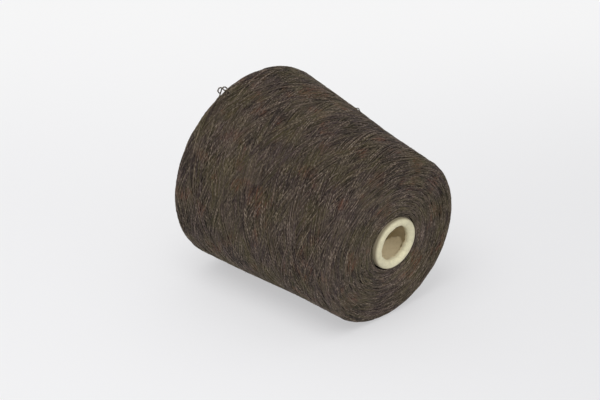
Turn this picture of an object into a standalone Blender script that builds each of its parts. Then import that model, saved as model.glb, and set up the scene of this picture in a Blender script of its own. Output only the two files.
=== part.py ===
"""A cone of wool blend yarn that lies on its tapered side, with the small end towards +X.

The wound yarn is one solid, and the paper cone it is wound on is another. A loose end of the yarn
curls up over the big end. Because the package lies on its taper, the cone's axis leans down towards
the small end. Lengths are in metres and +Z is up. The origin is on the surface that the package
lies on, under the middle of the object's box.
"""

import math

import bmesh
import bpy
from mathutils import Vector

# Wound yarn. "Along" is the distance from the small end's face towards the big end, on the cone's axis.
TRAVERSE = 0.150
SMALL_END_RADIUS = 0.0631
BIG_END_RADIUS = 0.0766
WAIST_DEPTH = 0.0009
WAIST_PLACE = 0.35 * TRAVERSE
WAIST_SPREAD = 0.20 * TRAVERSE
SMALL_SHOULDER = (0.0060, 0.0066)
BIG_SHOULDER = (0.0073, 0.0094)
SMALL_FACE_CROWN = 0.0003
BIG_FACE_DISH = 0.0015
FACE_CURVE = 1.5
PRESSED_DEPTH = 0.0015

# Ridges of the crossed winding, which runs round the package both ways
WIND_ANGLE = math.radians(13)
RIDGES = 8
RIDGE_HEIGHT = 0.0004

# Paper cone. Its slope is that of a 4 degree 20 minute winding former.
CONE_LENGTH = 0.170
CONE_SLOPE = math.tan(math.radians(4 + 20 / 60))
CONE_NOSE_RADIUS = 0.0198
CONE_WALL = 0.0020
NOSE_REACH = 0.0047
LIP_RADIUS = 0.0033
LIP_DEPTH = 0.0051
LIP_EDGE_RISE = 0.00033
LIP_EDGE_WIDTH = 0.0020
LIP_PLEATS = 7
LIP_PLEAT_HEIGHT = 0.00025
SEAT_GAP = 0.0004

# Yarn
YARN_DIAMETER = 0.0009

# Fineness of the solids
STEPS_ROUND = 64
ROWS_ALONG = 46
SHOULDER_STEPS = 4
FACE_ROWS = 4
CONE_ROWS = 4
LIP_STEPS = 12
CURVE_STEPS = 8
TUBE_SPACING = 1.1 * YARN_DIAMETER

# Colours of the yarn and of the paper
YARN_BROWN = (0.072, 0.056, 0.044, 1.0)
PAPER_CREAM = (0.66, 0.62, 0.47, 1.0)

# The loose end, from where it leaves the winding to its cut end: along in millimetres, turn from
# straight up in degrees, and lift above the straight side line in millimetres
LOOSE_END = (
    (140.0, -50.0, 0.8),
    (141.4, -44.0, 0.8),
    (143.0, -38.0, 0.8),
    (144.2, -33.0, 0.6),
    (145.3, -29.0, 0.1),
    (146.8, -27.8, -0.9),
    (148.0, -26.7, -1.6),
    (148.6, -25.8, -1.4),
    (149.2, -24.6, -0.9),
    (149.5, -23.4, -0.6),
    (149.1, -22.5, -0.6),
    (147.9, -22.1, -0.8),
    (146.3, -22.5, -0.3),
    (144.5, -23.4, 0.5),
    (143.0, -24.9, 0.5),
    (141.6, -26.1, 0.6),
    (139.9, -25.8, 0.6),
    (139.8, -24.4, 0.6),
    (141.4, -23.8, 0.8),
    (143.4, -24.1, 1.5),
    (145.4, -24.5, 0.7),
    (147.1, -24.2, -0.3),
    (148.4, -24.1, 0.1),
    (149.4, -24.3, 0.5),
    (150.3, -24.7, 0.4),
    (150.8, -25.6, -0.1),
    (150.5, -26.4, -0.7),
    (149.9, -26.7, -1.6),
    (149.2, -26.5, -2.4),
)

# The package's taper gives the lean of its axis when it lies on its side.
LEAN = math.atan((BIG_END_RADIUS - SMALL_END_RADIUS) / TRAVERSE)
TOWARDS_BIG_END = Vector((-math.cos(LEAN), 0, math.sin(LEAN)))
AXIS_UP = Vector((math.sin(LEAN), 0, math.cos(LEAN)))
AXIS_SIDE = Vector((0, 1, 0))
MEAN_RADIUS = (SMALL_END_RADIUS + BIG_END_RADIUS) / 2


def clear_scene():
    for obj in list(bpy.data.objects):
        bpy.data.objects.remove(obj, do_unlink=True)


def make_material(name, colour, roughness):
    material = bpy.data.materials.new(name)
    material.use_nodes = True
    shader = material.node_tree.nodes["Principled BSDF"]
    shader.inputs["Base Color"].default_value = colour
    shader.inputs["Roughness"].default_value = roughness
    shader.inputs["Metallic"].default_value = 0.0
    material.diffuse_color = colour
    return material


def side_line(along):
    """Radius of the straight tapered side, which the shoulders and the waist cut into."""
    return SMALL_END_RADIUS + along * math.tan(LEAN)


def waist(along):
    return WAIST_DEPTH * math.exp(-(((along - WAIST_PLACE) / WAIST_SPREAD) ** 2))


def cone_radius(from_tip):
    """Outer radius of the paper cone at a distance from the tip of its nose."""
    return CONE_NOSE_RADIUS + (from_tip - LIP_RADIUS) * CONE_SLOPE


def bore_radius(along):
    return cone_radius(along + NOSE_REACH) + SEAT_GAP


def face_points(outer, inner, plane, at_bore):
    """Points across an end face, from its outer edge inwards, moved along the axis towards the bore."""
    points = []
    for step in range(1, FACE_ROWS + 1):
        share = step / FACE_ROWS
        radius = outer + (inner - outer) * share
        points.append((plane + at_bore * share**FACE_CURVE, radius, 0.0))
    return points


def package_section():
    """The closed section of the wound yarn: along, radius, and the share of the ridges that it takes."""
    small_reach, small_drop = SMALL_SHOULDER
    big_reach, big_drop = BIG_SHOULDER
    section = []
    for step in range(SHOULDER_STEPS):
        angle = 0.5 * math.pi * step / SHOULDER_STEPS
        along = small_reach * (1 - math.cos(angle))
        radius = side_line(along) - small_drop * (1 - math.sin(angle)) - waist(along)
        section.append((along, radius, step / SHOULDER_STEPS))
    straight = TRAVERSE - small_reach - big_reach
    for row in range(ROWS_ALONG + 1):
        along = small_reach + straight * row / ROWS_ALONG
        section.append((along, side_line(along) - waist(along), 1.0))
    for step in range(1, SHOULDER_STEPS + 1):
        angle = 0.5 * math.pi * (1 - step / SHOULDER_STEPS)
        along = TRAVERSE - big_reach * (1 - math.cos(angle))
        radius = side_line(along) - big_drop * (1 - math.sin(angle)) - waist(along)
        section.append((along, radius, 1 - step / SHOULDER_STEPS))

    big_edge = section[-1][1]
    big_bore = bore_radius(TRAVERSE - BIG_FACE_DISH)
    section += face_points(big_edge, big_bore, TRAVERSE, -BIG_FACE_DISH)
    small_edge = section[0][1]
    small_bore = bore_radius(-SMALL_FACE_CROWN)
    section += face_points(small_edge, small_bore, 0.0, -SMALL_FACE_CROWN)[::-1]
    return section


def winding_ridges(along, turn):
    """Height of the crossed ridges: the higher of two sets that run round the package both ways."""
    travel = along / (MEAN_RADIUS * math.tan(WIND_ANGLE))
    one_way = math.cos(RIDGES * (turn - travel))
    other_way = math.cos(RIDGES * (turn + travel))
    return RIDGE_HEIGHT * (max(one_way, other_way) - 1) / 2


def cone_section():
    """The closed section of the paper cone, with its nose rolled in to a round lip."""
    lip_middle = CONE_NOSE_RADIUS - LIP_RADIUS
    inner_radius = lip_middle - LIP_RADIUS
    section = []
    for row in range(CONE_ROWS):
        from_tip = CONE_LENGTH * (1 - row / CONE_ROWS)
        section.append((from_tip, cone_radius(from_tip), 0.0))
    for step in range(LIP_STEPS + 1):
        angle = math.pi * step / LIP_STEPS
        from_tip = LIP_RADIUS * (1 - math.sin(angle))
        radius = lip_middle + LIP_RADIUS * math.cos(angle)
        section.append((from_tip, radius, (step / LIP_STEPS) ** 2))
    edge_radius = inner_radius + LIP_EDGE_RISE
    section.append((LIP_DEPTH, edge_radius, 1.0))
    section.append((LIP_DEPTH + LIP_EDGE_RISE, edge_radius + LIP_EDGE_WIDTH, 0.0))
    for from_tip in (LIP_DEPTH + LIP_RADIUS, CONE_LENGTH / 2, CONE_LENGTH):
        section.append((from_tip, cone_radius(from_tip) - CONE_WALL, 0.0))
    return [(from_tip - NOSE_REACH, radius, share) for from_tip, radius, share in section]


def lip_pleats(along, turn):
    """The rolled-in edge of the paper is gathered in shallow pleats."""
    return LIP_PLEAT_HEIGHT * math.cos(LIP_PLEATS * turn)


def small_end_centre():
    """Centre of the small end's face, placed so that the side line lies in the floor by the pressed
    depth and the origin is under the middle of the box."""
    sections = package_section() + cone_section()
    front = max(radius * math.sin(LEAN) - along * math.cos(LEAN) for along, radius, _ in sections)
    back = min(-radius * math.sin(LEAN) - along * math.cos(LEAN) for along, radius, _ in sections)
    height = SMALL_END_RADIUS * math.cos(LEAN) - PRESSED_DEPTH
    return Vector((-(front + back) / 2, 0, height))


def place(centre, along, turn, radius):
    """The point at a place on the package: along the axis, round it from straight up, and out from it."""
    spoke = AXIS_UP * math.cos(turn) + AXIS_SIDE * math.sin(turn)
    return centre + TOWARDS_BIG_END * along + spoke * radius


def turned_solid(name, centre, section, relief, material):
    """A ring-shaped solid turned from a closed section, with a relief in the rows that take one."""
    mesh = bmesh.new()
    rings = []
    for along, radius, share in section:
        ring = []
        for step in range(STEPS_ROUND):
            turn = 2 * math.pi * step / STEPS_ROUND
            point = place(centre, along, turn, radius + share * relief(along, turn))
            point.z = max(point.z, 0.0)
            ring.append(mesh.verts.new(point))
        rings.append(ring)
    for ring, following in zip(rings, rings[1:] + rings[:1]):
        for step in range(STEPS_ROUND):
            after = (step + 1) % STEPS_ROUND
            mesh.faces.new((ring[step], ring[after], following[after], following[step]))
    bmesh.ops.recalc_face_normals(mesh, faces=mesh.faces)
    data = bpy.data.meshes.new(name)
    mesh.to_mesh(data)
    mesh.free()
    data.shade_smooth()
    data.set_sharp_from_angle(angle=math.radians(40))
    data.materials.append(material)
    obj = bpy.data.objects.new(name, data)
    bpy.context.scene.collection.objects.link(obj)
    return obj


def smooth_through(points, steps):
    """A smooth curve through every one of the points, with some steps between each two."""
    first = points[0] * 2 - points[1]
    last = points[-1] * 2 - points[-2]
    padded = [first] + points + [last]
    curve = []
    for before, start, end, after in zip(padded, padded[1:], padded[2:], padded[3:]):
        for step in range(steps):
            t = step / steps
            straight = start * 2 + (end - before) * t
            bent = (before * 2 - start * 5 + end * 4 - after) * t**2
            twisted = (start * 3 - before - end * 3 + after) * t**3
            curve.append((straight + bent + twisted) / 2)
    curve.append(points[-1])
    return curve


def evenly_spaced(curve, spacing):
    """Points a spacing apart along the curve, with both its ends kept."""
    length = sum((b - a).length for a, b in zip(curve, curve[1:]))
    count = round(length / spacing)
    gap = length / count
    points = [curve[0]]
    walked = 0.0
    for a, b in zip(curve, curve[1:]):
        step = (b - a).length
        while walked + step >= gap * len(points) and len(points) < count:
            points.append(a.lerp(b, (gap * len(points) - walked) / step))
        walked += step
    points.append(curve[-1])
    return points


def make_loose_end(centre, material):
    """The yarn's own end, as a tube along a smooth curve."""
    route = []
    for along_mm, turn_deg, lift_mm in LOOSE_END:
        along = along_mm / 1000
        radius = side_line(along) + lift_mm / 1000
        route.append(place(centre, along, math.radians(turn_deg), radius))
    points = evenly_spaced(smooth_through(route, CURVE_STEPS), TUBE_SPACING)
    data = bpy.data.curves.new("loose_end", "CURVE")
    data.dimensions = "3D"
    data.bevel_depth = YARN_DIAMETER / 2
    data.bevel_resolution = 2
    data.use_fill_caps = True
    spline = data.splines.new("POLY")
    spline.points.add(len(points) - 1)
    for target, point in zip(spline.points, points):
        target.co = (point.x, point.y, point.z, 1.0)
    data.materials.append(material)
    obj = bpy.data.objects.new("loose_end", data)
    bpy.context.scene.collection.objects.link(obj)
    return obj


def main():
    clear_scene()
    yarn = make_material("yarn", YARN_BROWN, 0.9)
    paper = make_material("paper", PAPER_CREAM, 0.8)
    centre = small_end_centre()
    turned_solid("yarn_package", centre, package_section(), winding_ridges, yarn)
    turned_solid("paper_cone", centre, cone_section(), lip_pleats, paper)
    make_loose_end(centre, yarn)


main()
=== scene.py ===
# %% [markdown]
# # A cone of wool blend yarn
# A winder has laid one long thread of dark heather yarn on a cream paper cone, back and forth, until
# the package is as wide as two fists. It lies on its tapered side with the small end towards us.
# This lesson dresses its plain solids. The camera and the curly loose end come first, then the
# winding, the paper cone, the materials and the light.

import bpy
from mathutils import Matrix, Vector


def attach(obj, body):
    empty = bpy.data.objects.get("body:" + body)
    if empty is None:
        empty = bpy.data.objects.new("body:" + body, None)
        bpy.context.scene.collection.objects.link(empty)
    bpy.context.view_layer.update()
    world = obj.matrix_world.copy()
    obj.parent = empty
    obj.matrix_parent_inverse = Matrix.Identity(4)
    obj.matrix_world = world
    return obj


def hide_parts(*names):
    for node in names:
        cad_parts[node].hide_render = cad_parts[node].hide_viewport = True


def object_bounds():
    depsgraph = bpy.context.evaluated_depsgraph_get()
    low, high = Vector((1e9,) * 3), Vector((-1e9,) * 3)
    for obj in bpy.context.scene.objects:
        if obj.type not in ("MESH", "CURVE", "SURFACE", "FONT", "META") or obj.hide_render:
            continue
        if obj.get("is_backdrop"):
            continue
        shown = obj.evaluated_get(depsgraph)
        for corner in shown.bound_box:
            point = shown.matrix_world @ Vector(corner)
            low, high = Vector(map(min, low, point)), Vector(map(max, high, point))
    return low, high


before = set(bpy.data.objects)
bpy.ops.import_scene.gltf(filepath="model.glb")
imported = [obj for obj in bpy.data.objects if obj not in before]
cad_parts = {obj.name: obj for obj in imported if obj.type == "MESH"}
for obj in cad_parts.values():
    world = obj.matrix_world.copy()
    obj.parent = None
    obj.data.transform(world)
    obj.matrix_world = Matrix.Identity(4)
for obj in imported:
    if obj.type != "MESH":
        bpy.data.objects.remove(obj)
cad_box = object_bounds()
print("solids:", sorted(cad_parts), "box:", [round(x, 4) for corner in cad_box for x in corner])

# %% Bring in what the cells use
import math

import bpy
import numpy as np
from mathutils import Vector

# %% [markdown]
# ## Where things are on a package
# Everything on the cone is placed the way a winder would: how far along from the small face, how
# far round from the top, and how far out from the axis. The package lies on its taper, so its axis
# leans down a little towards the small end.

# %% Package coordinates
TRAVERSE = 0.150
SMALL_END_RADIUS = 0.0631
BIG_END_RADIUS = 0.0766
SMALL_FACE_MIDDLE = np.array([0.0806908, 0.0, 0.0613460])
LEAN = math.atan((BIG_END_RADIUS - SMALL_END_RADIUS) / TRAVERSE)
TOWARDS_BIG_END = np.array([-math.cos(LEAN), 0.0, math.sin(LEAN)])
AXIS_UP = np.array([math.sin(LEAN), 0.0, math.cos(LEAN)])
AXIS_SIDE = np.array([0.0, 1.0, 0.0])


def spoke(turn):
    """The direction straight out from the axis, at a turn from the top."""
    turn = np.asarray(turn, float)
    return np.cos(turn)[..., None] * AXIS_UP + np.sin(turn)[..., None] * AXIS_SIDE


def place(along, turn, radius):
    """Points at places on the package, in the row frame."""
    along, turn, radius = np.broadcast_arrays(along, turn, radius)
    return SMALL_FACE_MIDDLE + along[..., None] * TOWARDS_BIG_END + radius[..., None] * spoke(turn)


def side_line(along):
    """Radius of the straight tapered side."""
    return SMALL_END_RADIUS + along * math.tan(LEAN)


print("lean in degrees:", round(math.degrees(LEAN), 2))

# %% [markdown]
# ## The camera
# A long lens from 1.8 metres away keeps the cone from looking stretched. The view looks down by 27
# degrees and is turned 46 degrees round the package, so the small face and the side both show. A
# small lens shift puts the package a touch right of the picture's middle.

# %% Camera
VIEW_HEADING = math.radians(46.06)
VIEW_DOWN = math.radians(27.33)
VIEW_DISTANCE = 1.80194
LENS_MM = 150.0
PICTURE_WIDTH = 600
RIGHT_OF_MIDDLE = 18.82

axis_middle = place(TRAVERSE / 2, 0.0, 0.0)
flat = math.cos(VIEW_DOWN)
away = np.array([flat * math.sin(VIEW_HEADING), -flat * math.cos(VIEW_HEADING), math.sin(VIEW_DOWN)])
camera_data = bpy.data.cameras.new("camera")
camera_data.lens = LENS_MM
camera_data.sensor_width = 36.0
camera_data.shift_x = -RIGHT_OF_MIDDLE / PICTURE_WIDTH
camera_data.clip_start = 0.05
camera_data.clip_end = 50.0
camera = bpy.data.objects.new("camera", camera_data)
bpy.context.scene.collection.objects.link(camera)
camera.location = Vector(axis_middle + away * VIEW_DISTANCE)
camera.rotation_euler = Vector(-away).to_track_quat("-Z", "Y").to_euler()
bpy.context.scene.camera = camera
print("camera at", [round(x, 3) for x in camera.location])

# %% [markdown]
# ## A tube for yarn
# Every visible stretch of yarn is a thin tube round a line of points. One helper makes many of them
# in one mesh, because thousands of objects would be slow. Each tube keeps its own map, how far
# along the yarn a place is and how far round it, so that colour and twist can follow the thread.

# %% Rings of one tube
def unit(vectors):
    return vectors / np.linalg.norm(vectors, axis=-1, keepdims=True)


def walk(points):
    """How far along a line each of its points is."""
    return np.concatenate([[0], np.cumsum(np.linalg.norm(np.diff(points, axis=0), axis=1))])


def tube_frames(points, outward):
    """For each point of a line: its forward, sideways and outward directions."""
    forward = unit(np.gradient(points, axis=0))
    sideways = unit(np.cross(outward, forward))
    return forward, sideways, unit(np.cross(forward, sideways))


def tube_rings(line, sides, half_width, half_height, twist):
    """The rings of points of one tube, and how far along the yarn each ring is."""
    points, outward, start, _ = line
    around = 2 * np.pi * np.arange(sides) / sides
    forward, sideways, out = tube_frames(points, outward)
    walked = start + walk(points)
    reach = np.ones((len(points), sides))
    if twist is not None:
        depth, length = twist
        reach += depth * np.cos(2 * (around[None] - 2 * np.pi * walked[:, None] / length))
    ring = (
        points[:, None]
        + (reach * half_width * np.cos(around))[..., None] * sideways[:, None]
        + (reach * half_height * np.sin(around))[..., None] * out[:, None]
    )
    return ring.reshape(-1, 3), walked


# %% Many tubes in one mesh
def tube_mesh(name, lines, sides, half_width, half_height, twist=None):
    """One mesh of closed tubes. A line is points, outward directions, start along the yarn, strand."""
    rings, quads, ends, lengths, strands = [], [], [], [], []
    first = 0
    for line in lines:
        ring, walked = tube_rings(line, sides, half_width, half_height, twist)
        steps = len(walked) - 1
        start = first + np.arange(steps)[:, None] * sides
        here = np.arange(sides)[None]
        after = (here + 1) % sides
        face = np.stack([start + here, start + sides + here, start + sides + after, start + after], -1)
        quads.append(face.reshape(-1, 4))
        ends.append(first + np.arange(sides))
        ends.append((first + steps * sides + np.arange(sides))[::-1])
        rings.append(ring)
        lengths.append(walked)
        strands.append(np.full(steps + 1, line[3]))
        first += (steps + 1) * sides
    rings, quads, ends = np.concatenate(rings), np.concatenate(quads), np.stack(ends)
    rings[:, 2] = np.maximum(rings[:, 2], 0.0)
    corners = np.concatenate([quads.ravel(), ends.ravel()])
    sizes = np.concatenate([np.full(len(quads), 4), np.full(len(ends), sides)])
    data = bpy.data.meshes.new(name)
    data.vertices.add(len(rings))
    data.vertices.foreach_set("co", rings.astype(np.float32).ravel())
    data.loops.add(len(corners))
    data.loops.foreach_set("vertex_index", corners.astype(np.int32))
    data.polygons.add(len(sizes))
    data.polygons.foreach_set("loop_start", np.concatenate([[0], np.cumsum(sizes)[:-1]]).astype(np.int32))
    data.update(calc_edges=True)
    yarn_map(data, corners, len(quads), sides, np.concatenate(lengths), np.concatenate(strands))
    strip_map(data, len(quads), len(ends), sides)
    data.shade_smooth()
    obj = bpy.data.objects.new(name, data)
    bpy.context.scene.collection.objects.link(obj)
    return obj


# %% [markdown]
# Besides the yarn's own map, the mesh gets a second one, in which each bit of tube has a cell to
# itself, for when its colours are baked to a picture.

# %% Two maps for the tubes
LANE_STEP = 8
LANES_END = 4096
PAGE_SHAPE = 1.5
CELL_MARGIN = 0.08
END_DISC = 0.4


def add_map(data, name, u, v):
    layer = data.uv_layers.new(name=name)
    layer.uv.foreach_set("vector", np.stack([u, v], -1).astype(np.float32).ravel())


def yarn_map(data, corners, quad_count, sides, lengths, strands):
    """U is metres along the yarn. V goes once round the tube, from a number that its strand owns."""
    round_it = (corners % sides) / sides
    last_side = np.arange(quad_count) % sides == sides - 1
    by_quad = round_it[: 4 * quad_count].reshape(-1, 4)
    by_quad[last_side, 2:] = 1.0
    round_it += (LANE_STEP * strands[corners // sides]) % LANES_END
    add_map(data, "along_yarn", lengths[corners // sides], round_it)


def strip_map(data, quad_count, end_count, sides):
    """Lays every step of every tube in its own cell of a grid."""
    cells = quad_count // sides + 1
    across = math.ceil(math.sqrt(cells / PAGE_SHAPE))
    rows = math.ceil(cells / across)
    number = np.arange(quad_count) // sides
    side = np.arange(quad_count) % sides
    u = (number % across)[:, None] + np.array([0.0, 1.0, 1.0, 0.0])
    turn = (side[:, None] + np.array([0.0, 0.0, 1.0, 1.0])) / sides
    v = (number // across)[:, None] + CELL_MARGIN + (1 - 2 * CELL_MARGIN) * turn
    around = 2 * np.pi * np.arange(sides) / sides
    end_u = (cells - 1) % across + 0.5 + END_DISC * np.cos(around)
    end_v = (cells - 1) // across + 0.5 + END_DISC * np.sin(around)
    u = np.concatenate([u.ravel(), np.tile(end_u, end_count)]) / across
    v = np.concatenate([v.ravel(), np.tile(end_v, end_count)]) / rows
    add_map(data, "OFBake", u, v)


def triangles(obj):
    return sum(len(face.vertices) - 2 for face in obj.data.polygons)


# %% [markdown]
# ## The loose end
# The thread's own end has come off the last turns and curls up over the big end. It is a free cord,
# so its route and length are settled first. The yarn is twisted from two plies, and here, against
# the pale ground, the tube's section has two lobes that turn as they go.

# %% Route of the loose end
YARN_DIAMETER = 0.0009
CURVE_STEPS = 10
LOOSE_END_SPACING = 0.0003
LOOSE_END = (
    (140.0, -50.0, 0.8), (141.4, -44.0, 0.8), (143.0, -38.0, 0.8), (144.2, -33.0, 0.6),
    (145.3, -29.0, 0.1), (146.8, -27.8, -0.9), (148.0, -26.7, -1.6), (148.6, -25.8, -1.4),
    (149.2, -24.6, -0.9), (149.5, -23.4, -0.6), (149.1, -22.5, -0.6), (147.9, -22.1, -0.8),
    (146.3, -22.5, -0.3), (144.5, -23.4, 0.5), (143.0, -24.9, 0.5), (141.6, -26.1, 0.6),
    (139.9, -25.8, 0.6), (139.8, -24.4, 0.6), (141.4, -23.8, 0.8), (143.4, -24.1, 1.5),
    (145.4, -24.5, 0.7), (147.1, -24.2, -0.3), (148.4, -24.1, 0.1), (149.4, -24.3, 0.5),
    (150.3, -24.7, 0.4), (150.8, -25.6, -0.1), (150.5, -26.4, -0.7), (149.9, -26.7, -1.6),
    (149.2, -26.5, -2.4),
)


def smooth_through(points, steps):
    """A smooth curve through every one of the points, with some steps between each two."""
    padded = np.vstack([2 * points[0] - points[1], points, 2 * points[-1] - points[-2]])
    t = np.arange(steps)[:, None] / steps
    curve = []
    for before, start, end, after in zip(padded, padded[1:], padded[2:], padded[3:]):
        bent = (2 * before - 5 * start + 4 * end - after) * t**2
        twisted = (3 * start - before - 3 * end + after) * t**3
        curve.append((2 * start + (end - before) * t + bent + twisted) / 2)
    return np.vstack(curve + [points[-1:]])


def evenly_spaced(curve, spacing):
    """Points a spacing apart along the curve, with both its ends kept."""
    walked = walk(curve)
    stops = np.linspace(0, walked[-1], round(walked[-1] / spacing) + 1)
    return np.stack([np.interp(stops, walked, curve[:, k]) for k in range(3)], 1)


def route_on_package(rows, spacing):
    """A smooth route through rows of along in mm, turn in degrees and lift in mm."""
    along, turn, lift = np.array(rows).T
    points = place(along / 1000, np.radians(turn), side_line(along / 1000) + lift / 1000)
    return evenly_spaced(smooth_through(points, CURVE_STEPS), spacing)


loose_route = route_on_package(LOOSE_END, LOOSE_END_SPACING)


# %% Loose end as a cord
def standing_out(points):
    """Directions straight out from the package's axis at these points."""
    from_axis = points - SMALL_FACE_MIDDLE
    from_axis = from_axis - (from_axis @ TOWARDS_BIG_END)[:, None] * TOWARDS_BIG_END
    return unit(from_axis)


PLY_DEPTH = 0.13
PLY_LENGTH = 0.0033
LOOSE_END_SIDES = 12
loose_line = (loose_route, standing_out(loose_route), 0.0, 1)
half = YARN_DIAMETER / 2
loose_end = tube_mesh("yarn_end", [loose_line], LOOSE_END_SIDES, half, half, (PLY_DEPTH, PLY_LENGTH))
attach(loose_end, "root")
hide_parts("loose_end")
print("loose end:", triangles(loose_end), "triangles")

# %% [markdown]
# ## The wound form
# The side is tapered and straight but for a slight waist, where the yarn pulled the layers in. It
# rolls over rounded shoulders into two faces that are nearly flat. These few lines describe that
# form once, and the body and every turn of yarn on it are placed from it.

# %% Form of the package
WAIST_DEPTH = 0.0009
WAIST_MIDDLE = 0.35 * TRAVERSE
WAIST_SPREAD = 0.20 * TRAVERSE
SMALL_SHOULDER = (0.0060, 0.0066)
BIG_SHOULDER = (0.0073, 0.0094)
SMALL_FACE_DISH = -0.0003
BIG_FACE_DISH = 0.0015
DISH_CURVE = 1.5
FACE_GAP = 0.0004
SECTION_STEPS = 12
CONE_SLOPE = math.tan(math.radians(4 + 20 / 60))
CONE_NOSE_RADIUS = 0.0198
NOSE_REACH = 0.0047
LIP_RADIUS = 0.0033


def cone_radius(from_tip):
    """Outer radius of the paper cone at a distance from the tip of its nose."""
    return CONE_NOSE_RADIUS + (from_tip - LIP_RADIUS) * CONE_SLOPE


def wound_radius(along):
    """Radius of the wound side with its waist and both shoulders."""
    along = np.asarray(along, float)
    waist = WAIST_DEPTH * np.exp(-(((along - WAIST_MIDDLE) / WAIST_SPREAD) ** 2))
    into_small = np.clip(1 - along / SMALL_SHOULDER[0], 0, 1)
    into_big = np.clip(1 - (TRAVERSE - along) / BIG_SHOULDER[0], 0, 1)
    drop = SMALL_SHOULDER[1] * (1 - np.sqrt(1 - into_small**2))
    drop += BIG_SHOULDER[1] * (1 - np.sqrt(1 - into_big**2))
    return side_line(along) - waist - drop


def end_section(small):
    """Points from the side over the shoulder and across an end face to the cone: along, radius."""
    reach = (SMALL_SHOULDER if small else BIG_SHOULDER)[0]
    plane, inwards = (0.0, 1.0) if small else (TRAVERSE, -1.0)
    angle = np.linspace(np.pi / 2, 0, SECTION_STEPS + 1)
    along = plane + inwards * reach * (1 - np.cos(angle))
    rows = [np.stack([along, wound_radius(along)], 1)]
    dish = SMALL_FACE_DISH if small else BIG_FACE_DISH
    edge = rows[0][-1, 1]
    core = float(cone_radius(plane + inwards * dish + NOSE_REACH)) + FACE_GAP
    share = np.linspace(0, 1, SECTION_STEPS + 1)[1:]
    rows.append(np.stack([plane + inwards * dish * share**DISH_CURVE, edge + (core - edge) * share], 1))
    return np.vstack(rows)


print("small end section ends at radius", round(1000 * end_section(True)[-1, 1], 2), "mm")

# %% [markdown]
# ## The body under the visible turns
# Below the last layers the package is simply full of yarn. A dark turned body stands for it, 1.4
# millimetres under the surface, so that the gaps between turns go down into shade. By hand one would
# pull a ring out into new rings along the section, and the cell does the same: one circle, extruded
# and scaled ring by ring, and bridged shut at the bore. Where the package rests, the body is pressed
# flat just above the ground.

# %% Pull a ring along a section
CIRCLE_TILT = (0.0, LEAN - math.pi / 2, 0.0)


def pull_ring(name, section, steps_round):
    """A turned surface: a circle extruded from row to row of a section of (along, radius)."""
    bpy.ops.object.select_all(action="DESELECT")
    along, radius = section[0]
    centre = place(along, 0.0, 0.0)
    bpy.ops.mesh.primitive_circle_add(
        vertices=steps_round, radius=radius, location=centre, rotation=CIRCLE_TILT
    )
    obj = bpy.context.object
    obj.name = name
    bpy.ops.object.mode_set(mode="EDIT")
    bpy.ops.mesh.select_all(action="SELECT")
    for (along, radius), (next_along, next_radius) in zip(section, section[1:]):
        step = TOWARDS_BIG_END * (next_along - along)
        centre = place(next_along, 0.0, 0.0)
        bpy.ops.mesh.extrude_region_move(TRANSFORM_OT_translate={"value": tuple(step)})
        size = next_radius / radius
        bpy.ops.transform.resize(value=(size, size, size), center_override=tuple(centre))
    bpy.ops.object.mode_set(mode="OBJECT")
    bpy.ops.object.transform_apply(location=True, rotation=True, scale=True)
    return obj


def close_and_turn_out():
    """Bridges the two open rims of the surface just pulled, and points its faces outwards."""
    bpy.ops.object.mode_set(mode="EDIT")
    bpy.ops.mesh.select_all(action="DESELECT")
    bpy.ops.mesh.select_mode(type="EDGE")
    bpy.ops.mesh.select_non_manifold(extend=False)
    bpy.ops.mesh.bridge_edge_loops()
    bpy.ops.mesh.select_all(action="SELECT")
    bpy.ops.mesh.remove_doubles(threshold=1e-6)
    bpy.ops.mesh.normals_make_consistent(inside=False)
    bpy.ops.object.mode_set(mode="OBJECT")


# %% Body under the turns
UNDER_SURFACE = 0.0014
OVER_GROUND = 0.0003
BODY_ROWS = 24
BODY_STEPS_ROUND = 96
side_along = np.linspace(SMALL_SHOULDER[0], TRAVERSE - BIG_SHOULDER[0], BODY_ROWS)[1:-1]
side_rows = np.stack([side_along, wound_radius(side_along)], 1)
body_section = np.vstack([end_section(True)[::-1], side_rows, end_section(False)])
body_direction = np.gradient(body_section, axis=0)
body_inward = unit(np.stack([body_direction[:, 1], -body_direction[:, 0]], 1))
body_section = body_section + body_inward * UNDER_SURFACE
wound_body = pull_ring("wound_body", body_section[::-1], BODY_STEPS_ROUND)
close_and_turn_out()
for vertex in wound_body.data.vertices:
    vertex.co.z = max(vertex.co.z, OVER_GROUND)
wound_body.data.shade_smooth()
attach(wound_body, "root")
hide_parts("yarn_package")
print("body under the turns:", triangles(wound_body), "triangles")

# %% [markdown]
# ## Winding the yarn
# A cross winder turns the package one way all the time, while a guide carries the thread to the big
# end and back. One stroke takes 1.3 turns, so each starts a little under a third of a turn further
# on than the last, and the threads spread evenly and cross at a flat angle. The guide turns
# softly at both ends, and the thread drifts a little to either side of its line.

# %% Guide and drift
GUIDE_SHARPNESS = 0.998
DRIFT_WAVES = (0.31, 0.17, 0.083, 0.041)
rng = np.random.default_rng(11)


def eased(progress):
    """Even travel of the guide, with a short soft turn at each end."""
    swing = np.arcsin(GUIDE_SHARPNESS * np.cos(np.pi * progress))
    return 0.5 - 0.5 * swing / np.arcsin(GUIDE_SHARPNESS)


def wander(walked, size):
    """A slow sideways drift of the thread."""
    drift = np.zeros_like(walked)
    for wavelength in DRIFT_WAVES:
        drift += np.sin(2 * np.pi * (walked / (wavelength * rng.uniform(0.8, 1.25)) + rng.uniform()))
    return size * drift


# %% [markdown]
# Instead of drawing a weave, the cell winds the last strokes for real: it keeps a height for each
# spot of the surface, lays the thread over what is there, and raises those spots. Thread under
# tension bridges the hollows, so the height under it is smoothed over a few millimetres.

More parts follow.
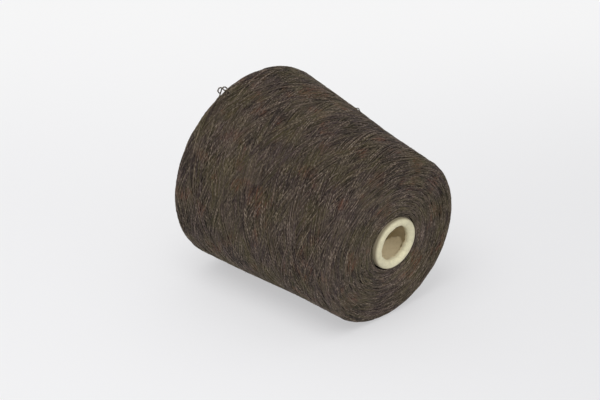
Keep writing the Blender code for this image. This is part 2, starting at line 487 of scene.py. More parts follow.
# %% Wind the last strokes
STROKES = 640
TURNS_PER_STROKE = 1.3008
START_SPREAD = 0.0022
GUIDE_ENDS = (0.0034, TRAVERSE - 0.0042)
END_SPREAD = (-0.0020, 0.0018)
END_DRIFT = 0.10
CALM_SHARE = 0.125
DRIFT_SIZE = 0.00017
STEP = 0.001
MEAN_RADIUS = 0.070
CELL_ALONG = 0.00025
CELLS_ROUND = 880
EDGE_ROWS = 40
THREAD_HEIGHT = 0.00062
THREAD_PROFILE = ((0, 0.0), (-1, 0.12), (1, 0.12), (-2, 0.45), (2, 0.45))
BRIDGE = 0.0035
BRIDGE_STEPS = 9


def wind():
    """Lays the strokes one after the other. Returns each stroke's samples and who is on top where."""
    rows = round(TRAVERSE / CELL_ALONG) + 1
    height = np.zeros((rows, CELLS_ROUND))
    on_top = np.full((rows, CELLS_ROUND), -1)
    bell = np.exp(-0.5 * (np.arange(-BRIDGE_STEPS, BRIDGE_STEPS + 1) * STEP / BRIDGE) ** 2)
    bell /= bell.sum()
    strokes = []
    early = 0.0
    unevenness = rng.normal(0, START_SPREAD, STROKES + 1)
    starts = 2 * np.pi * (TURNS_PER_STROKE * np.arange(STROKES + 1) + unevenness)
    for stroke in range(STROKES):
        start_along, end_along = GUIDE_ENDS if stroke % 2 == 0 else GUIDE_ENDS[::-1]
        late = rng.uniform(*END_SPREAD)
        count = round((starts[stroke + 1] - starts[stroke]) * MEAN_RADIUS / STEP)
        progress = np.arange(count + 1) / count
        along = start_along + (end_along - start_along) * eased(progress)
        fade = np.minimum(1, np.minimum(progress, 1 - progress) / CALM_SHARE)
        along = along + fade * wander(progress * count * STEP, DRIFT_SIZE)
        along += early * np.clip(1 - progress / END_DRIFT, 0, 1) ** 2
        along += late * np.clip(1 - (1 - progress) / END_DRIFT, 0, 1) ** 2
        turn = starts[stroke] + (starts[stroke + 1] - starts[stroke]) * progress
        row = np.clip(np.round(along / CELL_ALONG).astype(int), 2, rows - 3)
        column = np.floor(turn / (2 * np.pi) * CELLS_ROUND).astype(int) % CELLS_ROUND
        below = np.maximum(height[row, column], np.maximum(height[row - 1, column], height[row + 1, column]))
        rest = np.convolve(np.pad(below, BRIDGE_STEPS, mode="edge"), bell, mode="valid")
        top = rest + THREAD_HEIGHT
        for offset, share in THREAD_PROFILE:
            edge_top = top - share * THREAD_HEIGHT
            higher = edge_top > height[row + offset, column]
            height[row[higher] + offset, column[higher]] = edge_top[higher]
            on_top[row[higher] + offset, column[higher]] = stroke
        strokes.append((along, turn, rest + THREAD_HEIGHT / 2, row, column))
        early = late
    return strokes, on_top, height


strokes, on_top, height = wind()
middle = height[EDGE_ROWS:-EDGE_ROWS]
print("winding height in mm: mean", round(1000 * middle.mean(), 2), "spread", round(1000 * middle.std(), 2))

# %% [markdown]
# Strokes pile up unevenly, but a real package is pressed level as it turns against its drum. So the
# broad hills of the height field are taken away, and the small ones pressed down a little.

# %% Press the surface level
ROW_BLUR = 3
LEVEL_WIDTH = 0.006
CELL_ROUND = 0.0005
PRESSED = 0.75
TOP_PERCENTILE = 92


def blurred(values, cells, axis):
    """A running mean along one axis; round the package it runs on over the seam."""
    before = [(cells, cells) if k == axis else (0, 0) for k in (0, 1)]
    padded = np.pad(values, before, mode="wrap" if axis == 1 else "edge")
    total = np.cumsum(padded, axis=axis)
    width = 2 * cells
    high = np.take(total, np.arange(width, total.shape[axis]), axis=axis)
    low = np.take(total, np.arange(0, total.shape[axis] - width), axis=axis)
    return (high - low) / width


row_mean = blurred(np.repeat(height.mean(axis=1, keepdims=True), CELLS_ROUND, axis=1), ROW_BLUR, 0)
level = height - row_mean
for _ in range(2):
    level = blurred(level, round(LEVEL_WIDTH / CELL_ALONG / 2), 0)
    level = blurred(level, round(LEVEL_WIDTH / CELL_ROUND / 2), 1)
level += row_mean
roughness = (height - level)[EDGE_ROWS:-EDGE_ROWS]
TOP = PRESSED * np.percentile(roughness, TOP_PERCENTILE)
print("height left after pressing, in mm:", round(1000 * PRESSED * roughness.std(), 2))

# %% [markdown]
# A stretch of thread that later strokes have covered would cost many faces and never be seen. So
# each stroke is cut into the stretches that are on top somewhere, with a few millimetres more at
# both ends that dive under their neighbours.

# %% Keep what shows
RING_EVERY = 4
DEEPEST = -0.0016
HIGHEST = -0.0002
DIVE_SAMPLES = 7
LEAST_SEEN = 2
SHORTEST = 6
LANE = 0.0080
LANES_BACK = 150
LANES_PER_LAYER = 37.3
LAYER_STROKES = 250
LATE = round(0.68 * STROKES)


def showing_stretches(stroke, samples):
    """Index ranges of the samples of a stroke that show, with a margin."""
    row, column = samples[3:]
    seen = np.zeros(len(row), bool)
    for offset in (-1, 0, 1):
        seen |= on_top[row + offset, column] == stroke
    margin = np.convolve(seen, np.ones(DIVE_SAMPLES), mode="same") > 0
    edges = np.flatnonzero(np.diff(np.concatenate([[0], margin.astype(int), [0]])))
    spans = zip(edges[::2], edges[1::2])
    return [(a, b) for a, b in spans if seen[a:b].sum() >= LEAST_SEEN and b - a >= SHORTEST]


def thread_line(stroke, samples, first, last):
    """One stretch of a stroke, as tube_mesh takes it."""
    along, turn, lift = (values[first:last] for values in samples[:3])
    lift = PRESSED * (lift - level[samples[3][first:last], samples[4][first:last]]) - TOP
    lift = np.clip(lift, DEEPEST, HIGHEST)
    rings = max(2, round((last - first) / RING_EVERY) + 1)
    pick = np.linspace(0, last - first - 1, rings).round().astype(int)
    along, turn, lift = along[pick], turn[pick], lift[pick]
    points = place(along, turn, wound_radius(along) + lift)
    lane = (samples[1][0] / (2 * np.pi)) % 1 / LANE
    lane = lane + LANES_BACK * (stroke % 2) + LANES_PER_LAYER * (stroke // LAYER_STROKES)
    return points, spoke(turn), first * STEP, lane


threads = {}
for number, samples in enumerate(strokes):
    name = ("late" if number >= LATE else "early") + ("_turns_out" if number % 2 == 0 else "_turns_back")
    for first, last in showing_stretches(number, samples):
        threads.setdefault(name, []).append(thread_line(number, samples, first, last))
print("stretches:", {name: len(lines) for name, lines in threads.items()})

# %% [markdown]
# One thread of the side has kinked into a small snarl, as lively yarn does where it goes slack. It
# is drawn on its own route and joins the other threads, which now become tubes.

# %% Threads of the side
THREAD_WIDTH = 0.00084
THREAD_SIDES = 5
THREAD_FULLNESS = 1.15
SNARL_SPACING = 0.0005
SNARL_START = 0.4
SNARL_LANE = 77
SNARL = (
    (91.0, 36.0, -0.8), (88.6, 38.1, -0.5), (87.3, 39.2, 0.0), (86.9, 39.5, 0.5),
    (86.4, 39.8, 0.8), (85.8, 40.0, 0.7), (85.5, 40.4, 0.2), (85.3, 40.9, -0.2),
    (84.6, 41.8, -0.5), (82.8, 44.0, -0.9),
)
windings = []


def lay_threads(name, lines):
    """One piece of many threads, as part of the wound yarn."""
    piece = tube_mesh(name, lines, THREAD_SIDES, THREAD_WIDTH / 2, THREAD_HEIGHT / 2 * THREAD_FULLNESS)
    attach(piece, "root")
    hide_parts("yarn_package")
    windings.append(piece)
    print(name, triangles(piece), "triangles")


snarl_route = route_on_package(SNARL, SNARL_SPACING)
threads["snarl"] = [(snarl_route, standing_out(snarl_route), SNARL_START, SNARL_LANE)]
for name, lines in threads.items():
    lay_threads(name, lines)

# %% [markdown]
# ## The end faces
# On an end face one sees only places where the thread turned back: it comes up out of the package,
# runs along the face for two centimetres or so and dives in again. Each is a flat arc that keeps its
# own radius, and the arcs are spread evenly over shoulder and face.

# %% Turns back at the ends
# For each face: how many threads deep it is laid, how far they sink in, and its first lane.
SMALL_FACE = (3.2, -0.0001, 300)
BIG_FACE = (2.6, 0.0004, 500)
EVEN_ACROSS = 0.7548776662
EVEN_ROUND = 0.5698402910
TURN_SPREAD = 0.02
MEAN_HALF_ARC = 0.011
ARC_SHARES = (0.6, 1.4)
ARC_WIDEST = 0.9
ARC_STEP = 0.0018
ARC_SHIFT = 0.0004
ARC_SLANT = 0.06
ARC_WAVE = 0.0003
ARC_WAVELENGTH = 0.013
SINK_SPREAD = 0.00028
ARC_DIVE = (0.09, 0.17)
FINE_STEPS = 400


def turn_backs(small):
    """Arcs of thread over one shoulder and face."""
    cover, least_sink, first_lane = SMALL_FACE if small else BIG_FACE
    section = end_section(small)
    walked = walk(section)
    direction = np.gradient(section, walked, axis=0)
    normal = unit(np.stack([direction[:, 1], -direction[:, 0]], 1)) * (1 if small else -1)
    fine = np.linspace(0, walked[-1], FINE_STEPS)
    weight = np.cumsum(np.interp(fine, walked, section[:, 1]))
    area = 2 * np.pi * walked[-1] * np.interp(fine, walked, section[:, 1]).mean()
    count = round(cover * area / (2 * MEAN_HALF_ARC * THREAD_WIDTH))
    lines = []
    for number in range(count):
        middle = np.interp((number * EVEN_ACROSS + 0.5) % 1, weight / weight[-1], fine)
        turn = 2 * np.pi * ((number * EVEN_ROUND) % 1) + rng.normal(0, TURN_SPREAD)
        radius = np.interp(middle, walked, section[:, 1])
        half = min(MEAN_HALF_ARC * rng.uniform(*ARC_SHARES), ARC_WIDEST * radius)
        x = np.linspace(-half, half, max(4, round(half / ARC_STEP) + 1))
        spot = middle + rng.normal(0, ARC_SHIFT) + rng.normal(0, ARC_SLANT) * x
        spot += ARC_WAVE * np.sin(2 * np.pi * (x / ARC_WAVELENGTH + rng.uniform()))
        spot = np.clip(spot, 0, walked[-1] - FACE_GAP)
        along, radius = (np.interp(spot, walked, section[:, k]) for k in (0, 1))
        out = unit(np.stack([np.interp(spot, walked, normal[:, k]) for k in (0, 1)], 1))
        sink = least_sink + abs(rng.normal(0, SINK_SPREAD)) + x**2 / rng.uniform(*ARC_DIVE)
        points = place(along - out[:, 0] * sink, turn + x / radius, radius - out[:, 1] * sink)
        away_from = out[:, :1] * TOWARDS_BIG_END + out[:, 1:] * spoke(turn + x / radius)
        lane = middle / THREAD_WIDTH + rng.uniform(0, 0.6) + first_lane
        lines.append((points, away_from, 1.0 + turn * np.interp(middle, walked, section[:, 1]) - half, lane))
    return lines


for small, name in ((True, "turns_on_small_face"), (False, "turns_on_big_face")):
    lay_threads(name, turn_backs(small))

# %% [markdown]
# ## Stray fibres
# Wool is never quite smooth: the ends of single fibres stand off the thread and catch the light. A
# few thousand short curved hairs, each a three-sided tube that starts inside a thread, soften the
# outline.

# %% Fibres on the package and on the loose end
FIBRES_PER_SQUARE_CM = 5.0
FACE_SQUARE_CM = 120
FIBRES_ON_LOOSE_END = 420
FIBRE_HALF_WIDTH = 0.000028
FIBRE_STEPS = 4
FIBRE_SLANT = 0.5
FIBRE_BEND = (0.55, 0.95)
CLEAR_OF_ENDS = (0.004, TRAVERSE - 0.005)
LENGTHS = (0.0012, 0.0035)
LIFTS = (0.0003, 0.0013)
SHORT_LENGTHS = (0.0005, 0.0014)
SHORT_LIFTS = (0.0002, 0.0006)
ROOT_DEPTH = 0.0002
INTO_THREAD = 0.0003


def fibre(root, out, forward, length, lift):
    """A hair that leaves its root outwards and bends over towards forward."""
    share = np.linspace(0, 1, FIBRE_STEPS)[:, None]
    rise = lift * np.sin(share * math.pi * rng.uniform(*FIBRE_BEND))
    points = root + out * (rise - ROOT_DEPTH) + forward * length * share
    return points, np.repeat(out[None], FIBRE_STEPS, axis=0), rng.uniform(0, 3), rng.integers(400)


hairs = []


def grow(root, out, round_way, slant_way):
    """Adds a hair that lies round the package, one way or the other, at a slant."""
    forward = unit(round_way * rng.choice((-1, 1)) + slant_way * rng.normal(0, FIBRE_SLANT))
    hairs.append(fibre(root, out, forward, rng.uniform(*LENGTHS), rng.uniform(*LIFTS)))


side_area = 2 * math.pi * wound_radius(TRAVERSE / 2) * TRAVERSE
for _ in range(round(side_area * 10000 * FIBRES_PER_SQUARE_CM)):
    along = rng.uniform(*CLEAR_OF_ENDS)
    turn = rng.uniform(0, 2 * math.pi)
    root = place(along, turn, wound_radius(along) - INTO_THREAD)
    grow(root, spoke(turn), np.cross(TOWARDS_BIG_END, spoke(turn)), TOWARDS_BIG_END)
for small in (True, False):
    section = end_section(small)
    facing = -TOWARDS_BIG_END if small else TOWARDS_BIG_END
    for _ in range(round(FACE_SQUARE_CM * FIBRES_PER_SQUARE_CM)):
        radius = math.sqrt(rng.uniform(section[-1, 1] ** 2, section[SECTION_STEPS, 1] ** 2))
        along = np.interp(-radius, -section[:, 1], section[:, 0])
        turn = rng.uniform(0, 2 * math.pi)
        root = place(along, turn, radius) - ROOT_DEPTH * facing
        grow(root, facing, np.cross(facing, spoke(turn)), spoke(turn))
for _ in range(FIBRES_ON_LOOSE_END):
    spot = rng.integers(2, len(loose_route) - 2)
    along_yarn = unit(loose_route[spot + 1] - loose_route[spot - 1])
    out = unit(np.cross(along_yarn, unit(rng.normal(0, 1, 3))))
    lift = rng.uniform(*SHORT_LIFTS) + INTO_THREAD
    hairs.append(fibre(loose_route[spot], out, along_yarn, rng.uniform(*SHORT_LENGTHS), lift))
stray_fibres = tube_mesh("stray_fibres", hairs, 3, FIBRE_HALF_WIDTH, FIBRE_HALF_WIDTH)
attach(stray_fibres, "root")
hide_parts("yarn_package")
print("stray fibres:", len(hairs), "with", triangles(stray_fibres), "triangles")

# %% [markdown]
# ## The paper cone
# The cone is wound from paper, and its nose is rolled in to a round bead so that the thread can't
# catch on it. The outside is pulled out of one ring: up the cone, round the bead and in to the raw
# edge.

# %% Section of the paper
CONE_LENGTH = 0.170
LIP_DEPTH = 0.0051
LIP_FRONT = 0.0026
BEAD_STEPS = 16
MOUTH_RADIUS = 0.0131
MOUTH_FLARE = ((0.0040, 0.0001), (LIP_DEPTH, 0.0004))
NOSE_SET_BACK = 0.0006
NEAR_NOSE = (0.010, 0.0065, 0.0045)
CONE_STEPS_ROUND = 128
lip_half = (cone_radius(LIP_FRONT) - MOUTH_RADIUS) / 2
lip_middle = MOUTH_RADIUS + lip_half
down_the_side = [*np.linspace(CONE_LENGTH - NOSE_SET_BACK, NEAR_NOSE[0], 9), *NEAR_NOSE[1:]]
paper_rows = [(from_tip, cone_radius(from_tip)) for from_tip in down_the_side]
for angle in np.linspace(0, np.pi, BEAD_STEPS + 1):
    paper_rows.append((LIP_FRONT * (1 - math.sin(angle)), lip_middle + lip_half * math.cos(angle)))
for from_tip, wider in MOUTH_FLARE:
    paper_rows.append((from_tip, MOUTH_RADIUS + wider))
paper_section = np.array(paper_rows) - np.array([NOSE_REACH - NOSE_SET_BACK, 0.0])
paper_cone = pull_ring("winding_cone", paper_section, CONE_STEPS_ROUND)
print("paper sheet:", len(paper_cone.data.polygons), "faces")

# %% [markdown]
# Rolling gathers the paper into shallow pleats, with one deeper fold, and leaves its raw edge ragged.
# Waves of unlike counts round the mouth give both.

# %% Pleats and the ragged edge
PLEATS = 7
PLEAT_DEPTH = 0.00018
CREASES = 13
CREASE_DEPTH = 0.00010
TEARS = 23
TEAR_DEPTH = 0.00035
NICKS = 41
NICK_DEPTH = 0.00025
FOLD_TURN = math.radians(18.6)
FOLD_WIDTH = math.radians(14.0)
FOLD_DEPTH = 0.0008
BEHIND_NOSE = 0.004
EDGE_BAND = 0.0002


def find(point):
    """How far along the package a point is, and its offset from the axis."""
    offset = np.array(point) - SMALL_FACE_MIDDLE
    along = offset @ TOWARDS_BIG_END
    return along, offset - along * TOWARDS_BIG_END


def paper_relief(turn, into_roll, ragged):
    """How far the rolled paper stands out from true, from the pleats, one fold and its raw edge."""
    pleat = math.cos(PLEATS * turn + 0.8 * math.sin(2 * turn)) * PLEAT_DEPTH
    pleat += math.cos(CREASES * turn + 1.1) * CREASE_DEPTH
    pleat += FOLD_DEPTH * math.exp(-(((turn - FOLD_TURN) / FOLD_WIDTH) ** 2))
    torn = TEAR_DEPTH * math.sin(TEARS * turn + 2 * math.sin(5 * turn))
    torn += NICK_DEPTH * math.sin(NICKS * turn)
    return pleat * into_roll**1.5, torn * ragged


for vertex in paper_cone.data.vertices:
    along, across = find(vertex.co)
    radius = np.linalg.norm(across)
    turn = math.atan2(across @ AXIS_SIDE, across @ AXIS_UP)
    if radius > CONE_NOSE_RADIUS - 0.0001 or along > BEHIND_NOSE:
        continue
    into_roll = min(1.0, (CONE_NOSE_RADIUS - radius) / (2 * lip_half))
    ragged = 1.0 if along > LIP_DEPTH - NOSE_REACH - EDGE_BAND and radius < lip_middle else 0.0
    out, down = paper_relief(turn, into_roll, ragged)
    vertex.co = Vector(place(along + down, turn, radius + out))

# %% [markdown]
# Solidify gives the sheet its thickness, towards the bore, so its faces have to point outwards first.

# %% Thickness of the paper
PAPER = 0.0014
bpy.ops.object.mode_set(mode="EDIT")
bpy.ops.mesh.select_all(action="SELECT")
bpy.ops.mesh.normals_make_consistent(inside=False)
bpy.ops.object.mode_set(mode="OBJECT")
sample = paper_cone.data.polygons[:64]
outward = [face.normal @ Vector(standing_out(np.array([face.center]))[0]) for face in sample]
print("outward check of the sheet:", round(float(np.mean(outward)), 2))
wall = paper_cone.modifiers.new("wall", "SOLIDIFY")
wall.thickness = PAPER
wall.offset = -1.0
wall.use_even_offset = True
bpy.ops.object.modifier_apply(modifier="wall")
paper_cone.data.shade_smooth()
bpy.ops.object.shade_smooth_by_angle(angle=math.radians(50))

# %% [markdown]
# The cone's outer side, from the bead's outer rounding back, is darkened as painted shade, and the
# paper is browner down the bore. Two attributes on the mesh mark those places for the material. The
# nose also sits a little high.

# %% Painted shade on the outer side, and the bore
SKIN = 0.0012
# Painted shade: measured back from the tip, the outer side darkens between these two distances.
PAINTED_SHADE_FROM = (0.0006, 0.0019)
BORE_FROM = (0.0030, 0.0055)
NOSE_LIFT = 0.0012


def step_between(value, low, high):
    """0 up to low, 1 from high on, and straight in between."""
    return min(1.0, max(0.0, (value - low) / (high - low)))


# The first attribute marks the outer side for painted shade, the second marks the bore.
painted_shade = paper_cone.data.attributes.new("painted_shade_side", "FLOAT", "POINT")
inside = paper_cone.data.attributes.new("down_the_bore", "FLOAT", "POINT")
for vertex in paper_cone.data.vertices:
    along, across = find(vertex.co)
    from_tip = along + NOSE_REACH - NOSE_SET_BACK
    skin = np.linalg.norm(across) > cone_radius(from_tip) - SKIN
    painted_shade.data[vertex.index].value = step_between(from_tip, *PAINTED_SHADE_FROM) if skin else 0.0
    inside.data[vertex.index].value = 0.0 if skin else step_between(from_tip, *BORE_FROM)
    lifted = NOSE_LIFT * (1 - from_tip / CONE_LENGTH)
    vertex.co = vertex.co + Vector(lifted * AXIS_UP)
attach(paper_cone, "root")
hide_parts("paper_cone")
print("paper cone:", triangles(paper_cone), "triangles")

# %% [markdown]
# ## Materials
# A few small helpers keep the node trees readable. One adds a node with its settings and inputs,
# and the others stand for nodes that come up often.

# %% Node helpers
def fill_in(node, **inputs):
    """Sets inputs, by name or by i and a number, or joins other nodes' outputs to them."""
    for key, value in inputs.items():
        numbered = key[0] == "i" and key[1:].isdigit()
        socket = node.inputs[int(key[1:]) if numbered else key.replace("_", " ")]
        if isinstance(value, bpy.types.NodeSocket):
            node.id_data.links.new(value, socket)
        else:
            socket.default_value = value
    return node


def add_node(tree, kind, settings=None, **inputs):
    node = tree.nodes.new(kind)
    for key, value in (settings or {}).items():
        setattr(node, key, value)
    return fill_in(node, **inputs)


def math_node(tree, operation, first, second=0.0, third=0.0):
    node = add_node(tree, "ShaderNodeMath", {"operation": operation}, i0=first, i1=second, i2=third)
    return node.outputs[0]


def mix_colour(tree, factor, first, second, blend="MIX"):
    settings = {"data_type": "RGBA", "blend_type": blend}
    return add_node(tree, "ShaderNodeMix", settings, i0=factor, i6=first, i7=second).outputs[2]


def ramp(tree, factor, low, high):
    """A soft step of the factor from 0 at low to 1 at high."""
    settings = {"interpolation_type": "SMOOTHSTEP"}
    return add_node(tree, "ShaderNodeMapRange", settings, i0=factor, i1=low, i2=high).outputs[0]


def add_bump(tree, shader, height, strength, distance):
    bump = add_node(tree, "ShaderNodeBump", None, Strength=strength, Distance=distance, Height=height)
    fill_in(shader, Normal=bump.outputs[0])


def new_material(name):
    """A material, its node tree, its shader, and the object's own coordinates."""
    material = bpy.data.materials.new(name)
    material.use_nodes = True
    tree = material.node_tree
    here = add_node(tree, "ShaderNodeTexCoord").outputs["Object"]
    return material, tree, tree.nodes["Principled BSDF"], here


# %% [markdown]
# Both wool and paper are made of fibres, and both have soft patches of tone. One node group gives
# the patches and one the fine fibre relief, and each material places them with its own sizes.

# %% Shared effects
def new_group(name, result, **numbers):
    """A node group that takes a place and some numbers, and gives one number back."""
    group = bpy.data.node_groups.new(name, "ShaderNodeTree")
    group.interface.new_socket("Place", in_out="INPUT", socket_type="NodeSocketVector")
    for label, value in numbers.items():
        socket = group.interface.new_socket(label, in_out="INPUT", socket_type="NodeSocketFloat")
        socket.default_value = value
    group.interface.new_socket(result, in_out="OUTPUT", socket_type="NodeSocketFloat")
    return group, group.nodes.new("NodeGroupInput"), group.nodes.new("NodeGroupOutput")


def noise_in(group, entry, **settings):
    """Noise at the group's own place and scale."""
    spot = entry.outputs["Place"]
    noise = add_node(group, "ShaderNodeTexNoise", {"noise_dimensions": "3D"}, Vector=spot, **settings)
    return fill_in(noise, Scale=entry.outputs["Scale"]).outputs[0]


patches, entry, leave = new_group("soft_patches", "Mask", Scale=100.0, Low=0.4, High=0.6)
noise = noise_in(patches, entry, Detail=2.0)
fill_in(leave, Mask=ramp(patches, noise, entry.outputs["Low"], entry.outputs["High"]))

fibres, entry, leave = new_group("fibre_relief", "Height", Scale=1000.0)
fill_in(leave, Height=noise_in(fibres, entry, Detail=3.0, Roughness=0.6))


def use_group(tree, group, **inputs):
    return add_node(tree, "ShaderNodeGroup", {"node_tree": group}, **inputs).outputs[0]


print("node groups:", [group.name for group in (patches, fibres)])


# %% [markdown]
# ## Heather yarn
# Heather yarn is spun from fibre of several colours, so one thread drifts from brown to olive, rust
# and grey violet over a centimetre or so. Along the yarn's own map the colour can change from thread
# to thread, as no pattern in space could. The two plies show as a fine slanting relief, and as a
# lighter and a darker tone that is painted shade of the twist. The streaks along the threads are
# partly painted shade too.

# %% Yarn material
DARK = (0.080, 0.058, 0.045, 1.0)
BROWN = (0.196, 0.146, 0.110, 1.0)
LIGHT = (0.410, 0.330, 0.258, 1.0)
TAN = (0.203, 0.157, 0.117, 1.0)
OLIVE = (0.131, 0.112, 0.050, 1.0)
VIOLET = (0.100, 0.069, 0.073, 1.0)
RUST = (0.185, 0.074, 0.042, 1.0)
AREA_SCALE = 42.0
# Streaks: per metre, shift, apart, least share. Partly the yarn's drift of tone, partly painted shade of
# higher and lower threads; with a small apart, neighbouring threads share them as bands.
STREAKS = ((95.0, 9.0, 0.47, 0.20), (32.0, 33.0, 0.13, 0.42), (9.0, 61.0, 0.05, 0.68))
TINTS = ((OLIVE, 3.7, 0.25, 0.30), (VIOLET, 8.2, 0.22, 0.26))
RUST_IN_AREA = 0.10
RUST_IN_THREADS = 0.42
RUST_ANYWHERE = 0.06


def stretched(tree, split, along, round_it, shift=0.0):
    """The yarn's own map, scaled along and round it, for a pattern that follows the thread."""
    u = math_node(tree, "MULTIPLY_ADD", split.outputs[0], along, shift)
    v = math_node(tree, "MULTIPLY", split.outputs[1], round_it)
    return add_node(tree, "ShaderNodeCombineXYZ", None, i0=u, i1=v, i2=shift).outputs[0]


def along_thread(tree, split, per_metre, shift, low, high, apart=0.47):
    """Patches of tone along the thread. With a small apart, neighbouring threads share them."""
    spot = stretched(tree, split, per_metre, apart, shift)
    return use_group(tree, patches, Place=spot, Scale=1.0, Low=low, High=high)


def over_area(tree, here, shift, low, high, scale=AREA_SCALE):
    """Patches of tone that lie on the package, whatever thread is there."""
    spot = add_node(tree, "ShaderNodeVectorMath", {"operation": "ADD"}, i0=here, i1=shift).outputs[0]
    return use_group(tree, patches, Place=spot, Scale=scale, Low=low, High=high)


def yarn_colour(tree, split, here, wave):
    """Plies toned light and dark as painted shade, flecks and streaks along them, and dyed patches."""
    # Painted shade: one ply lighter, the other darker, for the twist's shade; the flecks are the heather's.
    fleck = along_thread(tree, split, 520.0, 5.0, 0.38, 0.66)
    lit_ply = mix_colour(tree, fleck, TAN, LIGHT)
    fleck = along_thread(tree, split, 430.0, 21.0, 0.36, 0.64)
    shaded_ply = mix_colour(tree, fleck, DARK, BROWN)
    colour = mix_colour(tree, ramp(tree, wave, -0.5, 0.5), lit_ply, shaded_ply)
    # Partly painted shade: streaks shared by neighbouring threads stand for light and shade on lifted
    # threads.
    for per_metre, shift, apart, least in STREAKS:
        streak = along_thread(tree, split, per_metre, shift, 0.42, 0.58, apart)
        shade = mix_colour(tree, streak, (least, least, least, 1.0), (1.0, 1.0, 1.0, 1.0))
        colour = mix_colour(tree, 1.0, colour, shade, "MULTIPLY")
    for tint, shift, area_share, thread_share in TINTS:
        area = over_area(tree, here, (shift, 0.3, 0.1), 0.40, 0.62)
        thread = along_thread(tree, split, 30.0, 10 * shift, 0.46, 0.64, 0.11)
        share = math_node(tree, "MULTIPLY", area, area_share)
        share = math_node(tree, "MULTIPLY_ADD", thread, thread_share, share)
        colour = mix_colour(tree, share, colour, tint)
    area = over_area(tree, here, (0.31, 0.17, 0.05), 0.55, 0.70, 60.0)
    thread = along_thread(tree, split, 60.0, 77.0, 0.50, 0.66, 0.2)
    share = math_node(tree, "MULTIPLY", area, RUST_IN_AREA)
    both = math_node(tree, "MULTIPLY", area, thread)
    share = math_node(tree, "MULTIPLY_ADD", both, RUST_IN_THREADS, share)
    share = math_node(tree, "MULTIPLY_ADD", thread, RUST_ANYWHERE, share)
    return mix_colour(tree, share, colour, RUST)


def yarn_material():
    material, tree, shader, here = new_material("heather_yarn")
    uv = add_node(tree, "ShaderNodeUVMap", {"uv_map": "along_yarn"}).outputs[0]
    split = add_node(tree, "ShaderNodeSeparateXYZ", None, i0=uv)
    lay = math_node(tree, "ADD", math_node(tree, "DIVIDE", split.outputs[0], PLY_LENGTH), split.outputs[1])
    wave = math_node(tree, "SINE", math_node(tree, "MULTIPLY", lay, 2 * math.pi))
    fibre_spot = stretched(tree, split, 1100.0, 11.0, 0.0)
    plies = math_node(tree, "MULTIPLY", math_node(tree, "ABSOLUTE", wave), 0.7)
    relief = math_node(tree, "MULTIPLY_ADD", use_group(tree, fibres, Place=fibre_spot, Scale=1.0), 0.6, plies)
    add_bump(tree, shader, relief, 0.6, 0.00012)
    fill_in(
        shader,
        Base_Color=yarn_colour(tree, split, here, wave),
        Roughness=math_node(tree, "MULTIPLY_ADD", relief, 0.1, 0.82),
        Specular_IOR_Level=0.2,
        Sheen_Weight=0.12,
        Sheen_Roughness=0.5,
        Sheen_Tint=(0.75, 0.68, 0.58, 1.0),
    )
    return material


heather = yarn_material()
for piece in windings + [loose_end]:
    piece.data.materials.append(heather)
print("yarn material on", len(windings) + 1, "pieces")

# %% [markdown]
# Single fibres look paler than the thread, because light gets through them. The body below is
# nearly black, since it stands for the shade between turns.

# %% Fibre and body materials
FIBRE_DARK = (0.10, 0.078, 0.06, 1.0)
FIBRE_PALE = (0.30, 0.25, 0.20, 1.0)
SHADE_DARK = (0.016, 0.012, 0.009, 1.0)
SHADE_PALE = (0.036, 0.028, 0.021, 1.0)
wool_fibre, tree, shader, here = new_material("wool_fibre")
tone = use_group(tree, patches, Place=here, Scale=700.0, Low=0.35, High=0.65)
rough = math_node(tree, "MULTIPLY_ADD", tone, 0.15, 0.70)
colour = mix_colour(tree, tone, FIBRE_DARK, FIBRE_PALE)
fill_in(shader, Base_Color=colour, Roughness=rough, Specular_IOR_Level=0.3)
stray_fibres.data.materials.append(wool_fibre)

under_yarn, tree, shader, here = new_material("yarn_in_shade")
tone = use_group(tree, patches, Place=here, Scale=900.0, Low=0.35, High=0.7)
fill_in(shader, Base_Color=mix_colour(tree, tone, SHADE_DARK, SHADE_PALE), Roughness=0.95)
add_bump(tree, shader, use_group(tree, fibres, Place=here, Scale=1500.0), 0.5, 0.0003)
wound_body.data.materials.append(under_yarn)
print("materials:", wool_fibre.name, under_yarn.name)

# %% [markdown]
# ## Cream paper
# The paper is cream, a little greyer in soft patches and specks, and browner down the bore. Its outer
# side is darkened from the nose back as painted shade. The fine relief is the felted fibre.

# %% Paper material
CREAM = (0.67, 0.625, 0.43, 1.0)
GREYER_CREAM = (0.58, 0.54, 0.375, 1.0)
SPECKS = (0.42, 0.38, 0.26, 1.0)
BORE_BROWN = (0.72, 0.61, 0.40, 1.0)
DEEPER_BROWN = (0.65, 0.545, 0.35, 1.0)
# Painted shade for the cone's outer side.
PAINTED_SHADE = (0.20, 0.165, 0.105, 1.0)
paper, tree, shader, here = new_material("cream_paper")
soft = use_group(tree, patches, Place=here, Scale=260.0, Low=0.35, High=0.75)
speck = use_group(tree, patches, Place=here, Scale=1400.0, Low=0.52, High=0.70)
colour = mix_colour(tree, soft, CREAM, GREYER_CREAM)
colour = mix_colour(tree, math_node(tree, "MULTIPLY", speck, 0.35), colour, SPECKS)
bore = add_node(tree, "ShaderNodeAttribute", {"attribute_name": "down_the_bore"}).outputs["Fac"]
colour = mix_colour(tree, bore, colour, mix_colour(tree, soft, BORE_BROWN, DEEPER_BROWN))
# Painted shade over the cone's outer side, behind the bead.
side = add_node(tree, "ShaderNodeAttribute", {"attribute_name": "painted_shade_side"}).outputs["Fac"]
colour = mix_colour(tree, math_node(tree, "MULTIPLY", side, 0.9), colour, PAINTED_SHADE)
fill_in(shader, Base_Color=colour, Roughness=0.85)
add_bump(tree, shader, use_group(tree, fibres, Place=here, Scale=2200.0), 0.35, 0.00015)
paper_cone.data.materials.append(paper)
print("paper:", len(tree.nodes), "nodes")
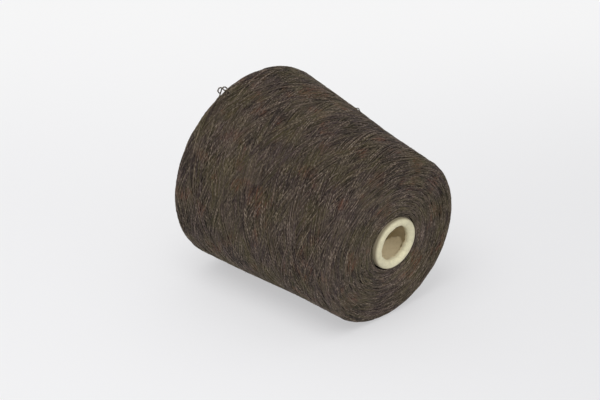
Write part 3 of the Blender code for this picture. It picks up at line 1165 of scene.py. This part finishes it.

# %% [markdown]
# ## Ground and light
# The package lies on a plain pale table. The table glows a little, as painted light, so that the
# shadow on it stays pale; the glow is a little brighter far off and darker to the right, as in a
# photographer's tent.

# %% Ground
TABLE_SIZE = 8.0
TABLE_DROP = 0.0002
TABLE_GREY = (0.46, 0.46, 0.465, 1.0)
# Painted light: the table's glow, brighter far off and darker to the right.
GLOW = (0.86, 0.86, 0.875, 1.0)
GLOW_RIGHT = (0.72, 0.72, 0.735, 1.0)
GLOW_FAR = (1.0, 1.0, 1.0, 1.0)
RIGHTWARDS = (0.694, 0.720, 0.0)
FAR_OFF = (-0.720, 0.694, 0.0)
bpy.ops.object.select_all(action="DESELECT")
bpy.ops.mesh.primitive_plane_add(size=TABLE_SIZE, location=(0.0, 0.0, -TABLE_DROP))
ground = bpy.context.object
ground.name = "ground"
bpy.ops.object.transform_apply(location=True, rotation=True, scale=True)
ground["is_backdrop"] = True
pale, tree, shader, here = new_material("pale_ground")
glow = GLOW
for direction, low, high, tint in ((RIGHTWARDS, -0.15, 0.45, GLOW_RIGHT), (FAR_OFF, 0.08, 0.55, GLOW_FAR)):
    walk = add_node(tree, "ShaderNodeVectorMath", {"operation": "DOT_PRODUCT"}, i0=here, i1=direction)
    glow = mix_colour(tree, ramp(tree, walk.outputs["Value"], low, high), glow, tint)
fill_in(shader, Base_Color=TABLE_GREY, Roughness=0.9, Specular_IOR_Level=0.1)
fill_in(shader, Emission_Color=glow, Emission_Strength=0.54)
ground.data.materials.append(pale)
print("table:", TABLE_SIZE, "m square")

# %% [markdown]
# Soft light comes from all round, with one broad lamp above and a little to the camera's left. A
# narrow lamp from the camera's side lights the nose and shines a little way down the bore.

# %% Light
BROAD_LAMP = Vector((0.35, -0.80, 1.85))
BROAD_AIM = Vector((0.0, 0.0, 0.06))
NOSE_LAMP = 1.5 * Vector((0.66, -0.34, 0.67))


def add_lamp(name, kind, watts, spot, aim):
    """A lamp at a spot, turned towards its aim."""
    data = bpy.data.lights.new(name, kind)
    data.energy = watts
    lamp = bpy.data.objects.new(name, data)
    bpy.context.scene.collection.objects.link(lamp)
    lamp.location = spot
    lamp.rotation_euler = (aim - spot).to_track_quat("-Z", "Y").to_euler()
    return data


world = bpy.data.worlds.new("soft_room")
world.use_nodes = True
world.node_tree.nodes["Background"].inputs["Color"].default_value = (1.0, 1.0, 1.0, 1.0)
world.node_tree.nodes["Background"].inputs["Strength"].default_value = 0.62
bpy.context.scene.world = world
broad = add_lamp("broad_lamp", "AREA", 14.0, BROAD_LAMP, BROAD_AIM)
broad.shape = "DISK"
broad.size = 1.4
nose = Vector(place(-NOSE_REACH, 0.0, 0.0))
narrow = add_lamp("nose_lamp", "SPOT", 41.0, nose + NOSE_LAMP, nose)
narrow.shadow_soft_size = 0.018
narrow.spot_size = math.radians(1.9)
narrow.spot_blend = 0.8
print("lamps:", broad.energy, "W and", narrow.energy, "W")
bpy.context.scene.view_settings.view_transform = "Standard"

# %% [markdown]
# ## The size at the end
# The dressed package is meant to keep the size of the solids, so both boxes are printed.

# %% Finish
bpy.context.view_layer.update()
new_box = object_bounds()
for label, corners in (("solids", cad_box), ("dressed", new_box)):
    print(label, [[round(1000 * x, 2) for x in corner] for corner in corners])
